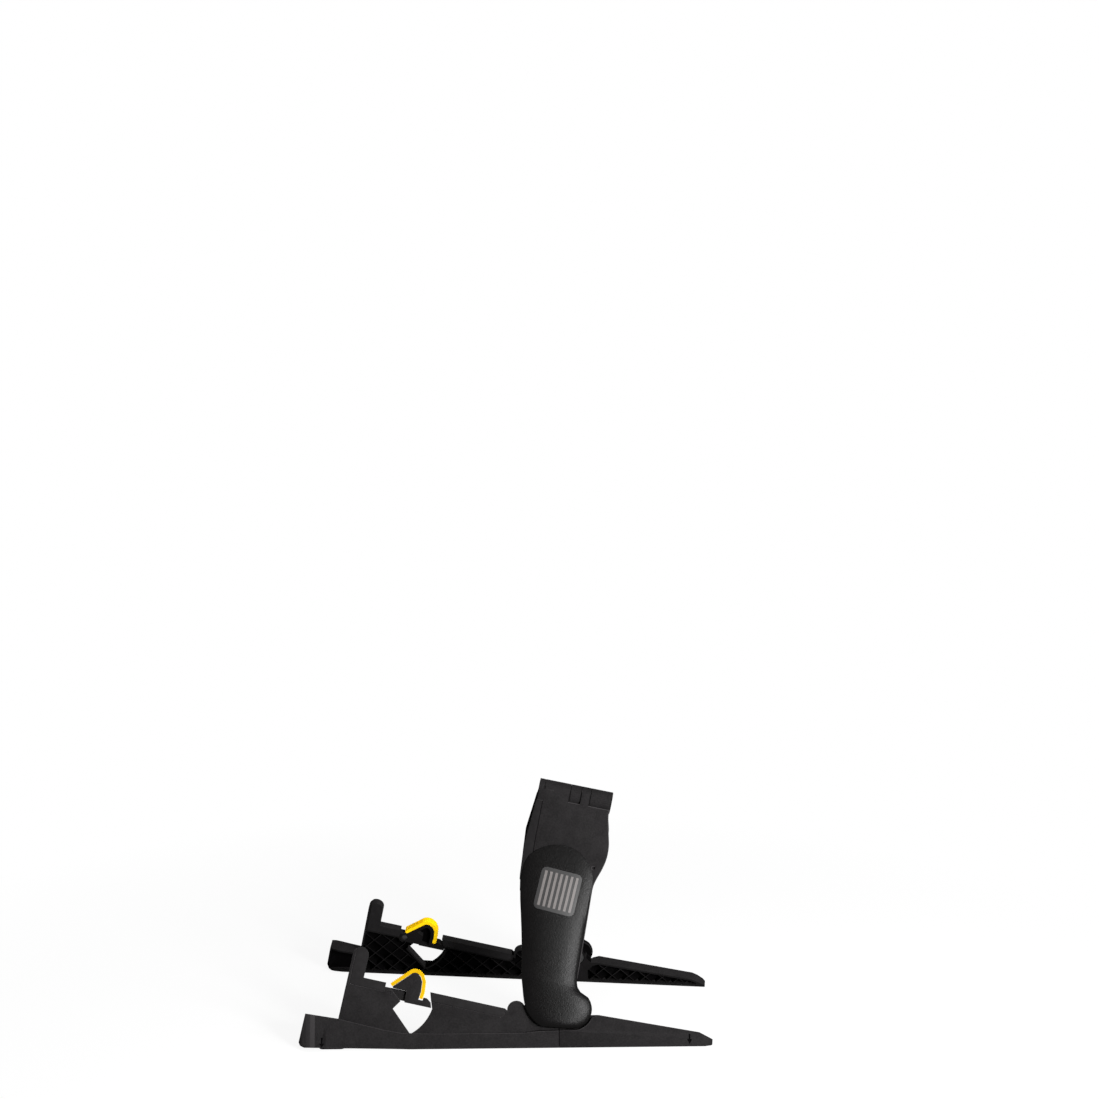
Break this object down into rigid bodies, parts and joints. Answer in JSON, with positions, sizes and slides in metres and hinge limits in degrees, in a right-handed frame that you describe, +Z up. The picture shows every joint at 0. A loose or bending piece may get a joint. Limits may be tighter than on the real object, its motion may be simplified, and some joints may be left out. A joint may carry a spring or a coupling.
{
  "type": "instrument stand",
  "caption": "Folding A-frame stand: two hinged posts, each with a padded cradle leg in front, a rear leg behind and a hinged flap that grips the instrument's lower edge.",
  "frame": {"origin": "on the floor, under the middle of the bounding box", "axes": "+X to the rear, along the legs; +Y to the stand's right as seen from the front end of the cradles looking rearward; +Z up"},
  "size_m": [0.4018, 0.2404, 0.2433],
  "materials": {
    "charcoal_plastic": "matte, fine moulded grain",
    "black_rubber": "smooth matte",
    "yellow_rubber": "matte, finely dimpled",
    "steel": "blackened steel, satin",
    "plaque": "satin"
  },
  "bodies": {
    "left_post": {"left_post_panel": "charcoal_plastic", "left_post_cover": "charcoal_plastic", "left_badge_plate": "plaque", "left_backrest_pad": "black_rubber", "left_cover_screw_1": "steel", "left_cover_screw_2": "steel", "left_cover_screw_3": "steel", "left_front_pivot_screw": "steel", "left_rear_pivot_screw": "steel", "hinge_pin": "steel", "hinge_front_cap": "charcoal_plastic", "hinge_rear_cap": "charcoal_plastic"},
    "left_front_leg": {"left_front_leg": "charcoal_plastic", "left_hook_liner": "black_rubber", "left_floor_strip": "black_rubber", "left_front_foot_pad": "black_rubber", "left_front_heel_pad": "black_rubber", "left_flap_pin": "steel"},
    "left_flap": {"left_flap": "charcoal_plastic", "left_flap_pad": "yellow_rubber"},
    "left_rear_leg": {"left_rear_leg": "charcoal_plastic", "left_rear_heel_pad": "black_rubber", "left_rear_foot_pad": "black_rubber"},
    "right_post": {"right_post_panel": "charcoal_plastic", "right_post_cover": "charcoal_plastic", "right_badge_plate": "plaque", "right_backrest_pad": "black_rubber", "right_cover_screw_1": "steel", "right_cover_screw_2": "steel", "right_cover_screw_3": "steel", "right_front_pivot_screw": "steel", "right_rear_pivot_screw": "steel"},
    "right_front_leg": {"right_front_leg": "charcoal_plastic", "right_hook_liner": "black_rubber", "right_floor_strip": "black_rubber", "right_front_foot_pad": "black_rubber", "right_front_heel_pad": "black_rubber", "right_flap_pin": "steel"},
    "right_flap": {"right_flap": "charcoal_plastic", "right_flap_pad": "yellow_rubber"},
    "right_rear_leg": {"right_rear_leg": "charcoal_plastic", "right_rear_heel_pad": "black_rubber", "right_rear_foot_pad": "black_rubber"}
  },
  "joints": [
    {"name": "spread", "type": "hinge", "parent": "left_post", "child": "right_post", "pos_m": [0.02937, 0, 0.23205], "axis": [-0.982, 0, 0.1888], "range_deg": [0, 42.3]},
    {"name": "left_front_leg_fold", "type": "hinge", "parent": "left_post", "child": "left_front_leg", "pos_m": [0.03614, -0.07529, 0.03308], "axis": [-0.0683, 0.9323, -0.3551], "range_deg": [0, 90]},
    {"name": "left_rear_leg_fold", "type": "hinge", "parent": "left_post", "child": "left_rear_leg", "pos_m": [0.06303, -0.07411, 0.03103], "axis": [0.0683, -0.9323, 0.3551], "range_deg": [0, 86]},
    {"name": "left_flap_turn", "type": "hinge", "parent": "left_front_leg", "child": "left_flap", "pos_m": [-0.11538, -0.08111, 0.04692], "axis": [-0.0683, 0.9323, -0.3551], "range_deg": [0, 42]},
    {"name": "right_front_leg_fold", "type": "hinge", "parent": "right_post", "child": "right_front_leg", "pos_m": [0.03614, 0.07529, 0.03308], "axis": [0.0683, 0.9323, 0.3551], "range_deg": [0, 90]},
    {"name": "right_rear_leg_fold", "type": "hinge", "parent": "right_post", "child": "right_rear_leg", "pos_m": [0.06303, 0.07411, 0.03103], "axis": [-0.0683, -0.9323, -0.3551], "range_deg": [0, 86]},
    {"name": "right_flap_turn", "type": "hinge", "parent": "right_front_leg", "child": "right_flap", "pos_m": [-0.11538, 0.08111, 0.04692], "axis": [0.0683, 0.9323, 0.3551], "range_deg": [0, 42]}
  ]
}
